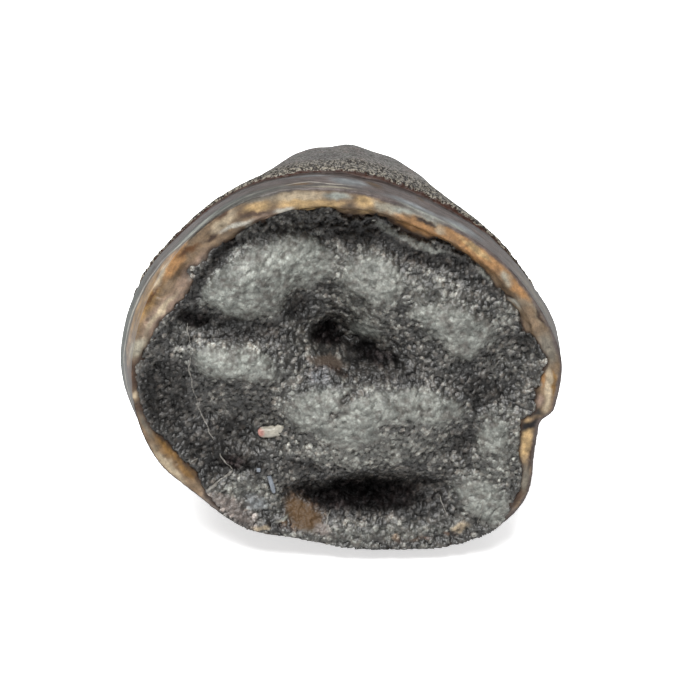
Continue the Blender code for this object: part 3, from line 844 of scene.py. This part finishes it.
def close_behind(piece):
    """Gives the sand's skin a side wall and a flat back inside the tooth."""
    mesh = bmesh.new()
    mesh.from_mesh(piece.data)
    border = [e for e in mesh.edges if e.is_boundary]
    made = bmesh.ops.extrude_edge_only(mesh, edges=border)["geom"]
    verts = [v for v in made if isinstance(v, bmesh.types.BMVert)]
    places = to_tooth([v.co[:] for v in verts])
    places = sideways(places, np.full(len(places), -BACK_NARROWER))
    places[:, 1] = SAND_BACK
    for v, place in zip(verts, to_world(places)):
        v.co = place
    edges = [e for e in made if isinstance(e, bmesh.types.BMEdge) and e.is_boundary]
    bmesh.ops.contextual_create(mesh, geom=edges)
    bmesh.ops.recalc_face_normals(mesh, faces=mesh.faces)
    mesh.to_mesh(piece.data)
    mesh.free()


def sand_point(across, seen_up):
    """The place on the sand that shows at a spot of the base's plane, in the tooth's frame."""
    along = 0.0
    for _ in range(6):
        hit = SAND.ray_cast((across, IN_FRONT, seen_up - SEEN_HIGHER * along), INTO_BASE)[0]
        if hit is None:
            return Vector((across, 0.0, seen_up))
        along = hit.y
    return hit


def rounded_bit(name, spot, sunk, size, turn, lumpiness, seed):
    """A small worn bit: a block with its corners rounded off, pressed into the sand."""
    bpy.ops.object.select_all(action="DESELECT")
    bpy.ops.mesh.primitive_cube_add(size=1.0)
    piece = bpy.context.active_object
    piece.name = piece.data.name = name
    edit(piece, lambda: bpy.ops.mesh.subdivide(number_cuts=3))
    apply_modifier(piece, "round_off", "SUBSURF", levels=2, render_levels=2)
    shape = places_of(piece)
    shape = 0.5 * shape / (np.abs(shape) ** 3.5).sum(1, keepdims=True) ** (1 / 3.5) * size
    shape += normals_of(piece) * (lumpiness * rough(shape, 0.35, seed, 3))[:, None]
    c, s = turned_by(turn)
    x, y, z = shape.T
    turned = np.stack((x * c - z * s, y, x * s + z * c), 1)
    set_places(piece, to_world(turned + np.array(sand_point(*spot) - INTO_BASE * sunk)))
    return piece


def add_chip():
    """The pale chip with a pink end."""
    piece = rounded_bit("pale_chip", CHIP_AT, 0.02, CHIP_SIZE, CHIP_TURN, 0.09, 41.0)
    places = to_tooth(places_of(piece))
    across = places[:, 0] - CHIP_AT[0]
    places[:, 2] += CHIP_BOW * across**2
    set_places(piece, to_world(places))
    redness = smooth_step(-0.35, -0.85, across + 0.3 * rough(places, 0.4, 45.0, 2))
    keep_colours(piece, "bit_colour", blend(plain("shell", places), "pink", 0.8 * redness))
    return piece


def add_rod():
    """The pale little rod, with a bead beside it."""
    piece = rounded_bit("pale_rod", ROD_AT, 0.08, ROD_SIZE, ROD_TURN, 0.02, 42.0)
    bead = rounded_bit("bead", BEAD_AT, 0.05, BEAD_SIZE, 0.0, 0.01, 43.0)
    select_only(piece)
    bead.select_set(True)
    bpy.ops.object.join()
    keep_colours(piece, "bit_colour", plain("ice", piece.data.vertices))
    return piece


def add_tube(mesh, track, radius):
    """Adds a closed tube along a track to a mesh, in the tooth's frame, with thin ends."""
    rings = []
    last = len(track) - 1
    for i, middle in enumerate(track):
        ahead = track[min(i + 1, last)] - track[max(i - 1, 0)]
        side = ahead.cross(INTO_BASE).normalized()
        up = side.cross(ahead).normalized()
        thick = radius * (1.0 + 0.5 * noise.noise(middle * 2.5)) * (0.3 if i in (0, last) else 1.0)
        turns = [math.tau * k / TUBE_SIDES for k in range(TUBE_SIDES)]
        ring = [middle + (side * math.cos(turn) + up * math.sin(turn)) * thick for turn in turns]
        rings.append([mesh.verts.new(to_world([place])[0]) for place in ring])
    for a, b in zip(rings[:-1], rings[1:]):
        for k in range(TUBE_SIDES):
            after = (k + 1) % TUBE_SIDES
            mesh.faces.new((a[k], a[after], b[after], b[k]))
    mesh.faces.new(rings[0])
    mesh.faces.new(rings[-1])


def add_veins():
    """Pale hairlines that run over the sand: thin cords, half sunk in it."""
    mesh = bmesh.new()
    for radius, line in VEINS:
        spots = []
        for (x0, z0), (x1, z1) in zip(line[:-1], line[1:]):
            count = max(int(math.hypot(x1 - x0, z1 - z0) / TUBE_STEP), 1)
            spots += [(x0 + (x1 - x0) * i / count, z0 + (z1 - z0) * i / count) for i in range(count)]
        spots.append(line[-1])
        wobble = rough([(x, 0.0, z) for x, z in spots], 0.9, 44.0, 3) * 0.16
        track = [sand_point(x + w, z) + INTO_BASE * (0.02 + 0.4 * w) for (x, z), w in zip(spots, wobble)]
        add_tube(mesh, track, radius)
    bmesh.ops.recalc_face_normals(mesh, faces=mesh.faces)
    data = bpy.data.meshes.new("pale_veins")
    mesh.to_mesh(data)
    mesh.free()
    piece = bpy.data.objects.new("pale_veins", data)
    bpy.context.scene.collection.objects.link(piece)
    keep_colours(piece, "bit_colour", plain("vein", data.vertices))
    return piece


# Materials


def node(beside, kind, inputs=None, **settings):
    """Adds a shader node to the tree of what is given, with its options, and its inputs linked or set."""
    tree = beside.id_data
    made = tree.nodes.new(kind)
    for key, value in settings.items():
        setattr(made, key, value)
    for key, value in (inputs or {}).items():
        if isinstance(value, bpy.types.NodeSocket):
            tree.links.new(value, made.inputs[key])
        else:
            made.inputs[key].default_value = value
    return made


def stored(shader, name, kind="Fac"):
    """What the mesh stores for each vertex under a name: a Fac, a Color or a Vector."""
    return node(shader, "ShaderNodeAttribute", attribute_name=name).outputs[kind]


def maths(operation, a, b=0.0, c=0.0):
    """A maths node."""
    return node(a, "ShaderNodeMath", {0: a, 1: b, 2: c}, operation=operation).outputs[0]


def vector_maths(operation, a, b):
    """A maths node for places or colours."""
    return node(a, "ShaderNodeVectorMath", {0: a, 1: b}, operation=operation).outputs[0]


def scaled(colour, factor):
    """A colour or a place times a number."""
    return node(colour, "ShaderNodeVectorMath", {0: colour, "Scale": factor}, operation="SCALE").outputs[0]


def between(value, low, high, to_low=0.0, to_high=1.0):
    """Maps a value's range smoothly onto another."""
    inputs = {"Value": value, "From Min": low, "From Max": high, "To Min": to_low, "To Max": to_high}
    return node(value, "ShaderNodeMapRange", inputs, interpolation_type="SMOOTHSTEP").outputs[0]


def rgba(what):
    """A named colour for a shader."""
    return (*COLOURS[what], 1.0)


def mixed(share, a, b):
    """Two colours mixed by a share."""
    return node(share, "ShaderNodeMix", {0: share, 6: a, 7: b}, data_type="RGBA").outputs[2]


def mixed_values(share, a, b):
    """Two numbers mixed by a share."""
    return node(share, "ShaderNodeMix", {0: share, 2: a, 3: b}, data_type="FLOAT").outputs[0]


def speckle(place, scale, detail=4.0, distortion=0.0):
    """Noise between 0 and 1 on places in millimetres."""
    inputs = {"Vector": place, "Scale": scale, "Detail": detail, "Roughness": 0.6, "Distortion": distortion}
    return node(place, "ShaderNodeTexNoise", inputs).outputs["Fac"]


def streaked(place, stretch, scale, detail=4.0, distortion=0.0):
    """Noise on places that are scaled unevenly first."""
    return speckle(vector_maths("MULTIPLY", place, stretch), scale, detail, distortion)


def tooth_place(shader):
    """Object coordinates turned into the tooth's own frame, in millimetres."""
    coordinates = node(shader, "ShaderNodeTexCoord").outputs["Object"]
    inputs = {
        "Vector": coordinates,
        "Location": -(Matrix.Rotation(PITCH, 3, "X") @ BASE_CENTRE) / MM,
        "Rotation": (PITCH, 0.0, 0.0),
        "Scale": (1.0 / MM, 1.0 / MM, 1.0 / MM),
    }
    return node(shader, "ShaderNodeMapping", inputs, vector_type="POINT").outputs[0]


def grit_group():
    """Fine grit that all the finishes share: its height, and a shade to multiply a colour by."""
    group = bpy.data.node_groups.new("fossil_grit", "ShaderNodeTree")
    group.interface.new_socket("Place", in_out="INPUT", socket_type="NodeSocketVector")
    for name in ("Scale", "Darkest", "Palest"):
        group.interface.new_socket(name, in_out="INPUT", socket_type="NodeSocketFloat")
    for name in ("Height", "Shade"):
        group.interface.new_socket(name, in_out="OUTPUT", socket_type="NodeSocketFloat")
    given = node(group, "NodeGroupInput").outputs
    height = speckle(given["Place"], given["Scale"], 3.0)
    shade = between(height, 0.3, 0.7, given["Darkest"], given["Palest"])
    node(group, "NodeGroupOutput", {"Height": height, "Shade": shade})
    return group


def gritty(place, scale, darkest, palest):
    """The shared grit, at its own scale and strength: its height and its shade."""
    inputs = {"Place": place, "Scale": scale, "Darkest": darkest, "Palest": palest}
    made = node(place, "ShaderNodeGroup", inputs, node_tree=GRIT)
    return made.outputs["Height"], made.outputs["Shade"]


def new_material(name, roughness, specular=0.5):
    """A material and its plain shader, with the values that stand where an export drops a link."""
    material = bpy.data.materials.new(name)
    material.use_nodes = True
    shader = material.node_tree.nodes["Principled BSDF"]
    shader.inputs["Roughness"].default_value = roughness
    shader.inputs["Specular IOR Level"].default_value = specular
    return material, shader


def feed(shader, name, value):
    """Links a value to one of the shader's inputs."""
    shader.id_data.links.new(value, shader.inputs[name])


def add_bump(shader, height, distance, strength):
    """Fine relief, in millimetres."""
    inputs = {"Height": height, "Distance": distance * MM, "Strength": strength}
    feed(shader, "Normal", node(shader, "ShaderNodeBump", inputs).outputs[0])


def paint_outline_shade(shader, colour, gloss, darkest):
    """Feeds a colour with painted shade where a surface turns away, so that outlines stay dark, and a gloss
    that fades there too.
    """
    facing = node(shader, "ShaderNodeLayerWeight", {"Blend": 0.5}).outputs["Facing"]
    feed(shader, "Base Color", scaled(colour, between(facing, 0.6, 0.97, 1.0, darkest)))
    feed(shader, "Specular IOR Level", between(facing, 0.55, 0.95, gloss, 0.01))


def sand_material():
    """Packed dark sand: rounded satin grains, with painted shade, darker and browner, in the gaps between
    them.
    """
    material, shader = new_material("packed_sand", 0.45)
    place = tooth_place(shader)
    drift = node(place, "ShaderNodeTexNoise", {"Vector": place, "Scale": 2.4, "Detail": 1.0})
    drifted = vector_maths("ADD", place, scaled(drift.outputs["Color"], 0.2))
    grains = node(place, "ShaderNodeTexVoronoi", {"Vector": drifted, "Scale": 4.8}).outputs
    away = grains["Distance"]
    own = node(place, "ShaderNodeSeparateColor", {0: grains["Color"]}).outputs[0]
    height, shade = gritty(place, 9.0, 0.85, 1.15)
    fresh = between(stored(shader, "worn"), 0.0, 1.0, 1.0, 0.2)
    contrast = maths("MULTIPLY", fresh, 0.8)
    own = maths("MULTIPLY_ADD", maths("SUBTRACT", own, 0.5), contrast, 1.05)
    colour = scaled(stored(shader, "sand_colour", "Color"), maths("MULTIPLY", shade, own))
    # Painted shade in the gaps between the grains
    gap_shade = vector_maths("MULTIPLY", colour, GAP_SHADE)
    in_gap_shade = maths("MULTIPLY", between(away, 0.36, 0.66, 0.0, 0.8), fresh)
    feed(shader, "Base Color", mixed(in_gap_shade, colour, gap_shade))
    feed(shader, "Roughness", between(height, 0.3, 0.7, 0.4, 0.55))
    feed(shader, "Specular IOR Level", between(stored(shader, "gloss"), 0.0, 1.0, 0.06, 0.5))
    dome = between(away, 0.0, 0.7, 1.0, 0.0)
    add_bump(shader, maths("MULTIPLY_ADD", height, 0.25, dome), 0.05, 0.7)
    return material


def root_material():
    """Dentine: mauve-brown and satin outside, amber and cream where it broke."""
    material, shader = new_material("root_dentine", 0.3, 0.2)
    place = tooth_place(shader)
    outside = between(stored(shader, "inward"), 0.12, 0.07)
    clouds = speckle(place, 1.6)
    fibres = streaked(stored(shader, "ring", "Vector"), (0.16, 1.0, 0.16), 5.5, distortion=0.3)
    lines = streaked(stored(shader, "around", "Vector"), (0.22, 0.8, 0.22), 2.6)
    looks = []
    for name, marks, marked, clouded in (
        ("wall_colour", between(fibres, 0.3, 0.7, 0.86, 1.14), 0.8, 1.2),
        ("collar_colour", between(lines, 0.34, 0.66, 0.8, 1.16), 0.72, 1.28),
    ):
        shade = maths("MULTIPLY", marks, between(clouds, 0.3, 0.7, marked, clouded))
        looks.append(scaled(stored(shader, name, "Color"), shade))
    height, shade = gritty(place, 9.0, 0.85, 1.12)
    paint_outline_shade(shader, scaled(mixed(outside, *looks), shade), 0.2, 0.45)
    inside_roughness = between(height, 0.3, 0.7, 0.34, 0.55)
    feed(shader, "Roughness", mixed_values(outside, inside_roughness, 0.42))
    relief = mixed_values(outside, fibres, lines)
    add_bump(shader, maths("MULTIPLY_ADD", height, 0.4, relief), 0.04, 0.5)
    return material


def bit_material():
    """The small foreign bits: their own colours, slightly mottled, and satin."""
    material, shader = new_material("foreign_bits", 0.4)
    height, shade = gritty(tooth_place(shader), 4.0, 0.75, 1.15)
    feed(shader, "Base Color", scaled(stored(shader, "bit_colour", "Color"), shade))
    add_bump(shader, height, 0.03, 0.5)
    return material


def enamel_material():
    """Enamel: mottled grey-brown, with painted shade in its creases.
    Near the margin, dark and cream specks: partly the enamel's own, partly painted shade and glints.
    """
    material, shader = new_material("wrinkled_enamel", 0.28, 0.2)
    place = tooth_place(shader)
    to_margin = stored(shader, "to_margin")
    fine = streaked(place, (1.0, 0.3, 1.0), 6.0, distortion=0.8)
    clouds = streaked(place, (0.5, 0.25, 0.5), 0.7)
    body = mixed(between(clouds, 0.38, 0.62), rgba("enamel_dark"), rgba("enamel_pale"))
    for shift, what in ((0.0, "enamel_rose"), (40.0, "enamel_green")):
        shifted = vector_maths("ADD", place, (shift, shift, shift))
        patches = streaked(shifted, (1.0, 0.4, 1.0), 0.9, 3.0)
        body = mixed(between(patches, 0.52, 0.66, 0.0, 0.7), body, rgba(what))
    height, shade = gritty(place, 6.0, 0.85, 1.15)
    # Painted shade in the wrinkles' creases, a little lighter on their crests, from the noise of their
    # relief
    crease_shade = between(fine, 0.36, 0.52, 0.55, 1.1)
    body = scaled(scaled(body, shade), crease_shade)
    near = between(maths("MULTIPLY_ADD", clouds, 6.0, to_margin), -7.5, -1.5)
    # Specks near the margin, dark in the grooves and pale on the crests: partly painted shade and glints
    specks_and_glints = mixed(between(fine, 0.48, 0.55), rgba("speck_dark_shade"), rgba("speck_pale_glint"))
    colour = mixed(near, body, specks_and_glints)
    colour = mixed(between(to_margin, -0.06, 0.0), colour, rgba("margin_line"))
    paint_outline_shade(shader, colour, 0.2, 0.7)
    feed(shader, "Roughness", between(fine, 0.35, 0.65, 0.46, 0.32))
    relief = maths("MULTIPLY", fine, between(near, 0.0, 1.0, 0.3, 1.0))
    add_bump(shader, maths("MULTIPLY_ADD", height, 0.1, relief), 0.08, 0.8)
    return material


def dress(piece, material, *replaced):
    """Finishes a piece: its material, its body, and the node that it stands for."""
    places = places_of(piece)
    places[:, 2] = np.maximum(places[:, 2], 0.0)
    set_places(piece, places)
    piece.data.materials.clear()
    piece.data.materials.append(material)
    select_only(piece)
    bpy.ops.object.shade_smooth()
    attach(piece, "root")
    if replaced:
        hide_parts(*replaced)


GRIT = grit_group()
root = add_root()
crown = add_crown()
sand = add_sand()
SAND = ray_tree(sand)
bits = (add_chip(), add_rod(), add_veins())
dress(root, root_material(), NODE)
dress(crown, enamel_material())
dress(sand, sand_material())
bits_look = bit_material()
for bit in bits:
    dress(bit, bits_look)

# Camera: the photograph looks down on the base, and its frame is 700 by 684 pixels
FRAME_PX = (700, 684)
BASE_PX = (341.0, 367.0)
CAMERA_AWAY = 0.150
CAMERA_AZIMUTH = 1.5
CAMERA_ELEVATION = 31.0
FIELD_WIDTH = 0.044
SENSOR = 36.0

# The soft boxes: name, place, size, and power in watts
LIGHTS = (
    ("overhead", (-0.05, -0.11, 0.34), (0.26, 0.2), 2.8),
    ("behind", (0.05, 0.25, 0.3), (0.3, 0.2), 0.3),
)
LIGHTS_AIM = Vector((0.0, 0.0, 0.01))

# The studio: how bright the surround shines and how bright it looks, and the pale floor's own glow
SURROUND_LIGHT = 0.35
SURROUND_SEEN = 0.95
FLOOR_GLOW = 0.2
FLOOR_GLOW_SEEN = 0.6
FLOOR_SIZE = 6.0


def stand(name, data, place, way):
    """Places a camera or a light so that it looks along a way."""
    holder = bpy.data.objects.new(name, data)
    holder.location = place
    holder.rotation_euler = way.to_track_quat("-Z", "Y").to_euler()
    bpy.context.scene.collection.objects.link(holder)
    return holder


def add_camera():
    """The camera at the photograph's viewing angle."""
    ahead, across = turned_by(CAMERA_AZIMUTH)
    level, down = turned_by(CAMERA_ELEVATION)
    view = Vector((across * level, ahead * level, -down))
    camera = bpy.data.cameras.new("camera")
    camera.sensor_width = SENSOR
    camera.lens = SENSOR * CAMERA_AWAY / FIELD_WIDTH
    camera.shift_x = (FRAME_PX[0] / 2 - BASE_PX[0]) / FRAME_PX[0]
    camera.shift_y = (BASE_PX[1] - FRAME_PX[1] / 2) / FRAME_PX[0]
    camera.clip_start = 0.001
    bpy.context.scene.camera = stand("camera", camera, BASE_CENTRE - view * CAMERA_AWAY, view)


def add_light(name, place, size, power):
    """A soft box: a rectangle that shines towards the tooth."""
    light = bpy.data.lights.new(name, "AREA")
    light.shape = "RECTANGLE"
    light.size, light.size_y = size
    light.energy = power
    stand(name, light, place, LIGHTS_AIM - Vector(place))


def glow(shader, name, light, seen):
    """Feeds a strength that is one value as light and another as the camera sees it."""
    is_seen = node(shader, "ShaderNodeLightPath").outputs["Is Camera Ray"]
    feed(shader, name, between(is_seen, 0.0, 1.0, light, seen))


def add_floor():
    """A plain pale floor."""
    bpy.ops.mesh.primitive_plane_add(size=FLOOR_SIZE, location=(0.0, 0.0, 0.0))
    floor = bpy.context.active_object
    floor.name = "floor"
    material, shader = new_material("pale_floor", 0.8)
    shader.inputs["Base Color"].default_value = (0.9, 0.9, 0.9, 1.0)
    shader.inputs["Emission Color"].default_value = (1.0, 1.0, 1.0, 1.0)
    glow(shader, "Emission Strength", FLOOR_GLOW, FLOOR_GLOW_SEEN)
    floor.data.materials.append(material)


def light_studio():
    """Soft studio light: a large box above the front, a weak one behind, and a pale surround."""
    for light in LIGHTS:
        add_light(*light)
    world = bpy.data.worlds.new("studio")
    world.use_nodes = True
    background = world.node_tree.nodes["Background"]
    background.inputs["Color"].default_value = (1.0, 1.0, 1.0, 1.0)
    glow(background, "Strength", SURROUND_LIGHT, SURROUND_SEEN)
    bpy.context.scene.world = world
    bpy.context.scene.view_settings.view_transform = "Standard"


add_camera()
add_floor()
light_studio()
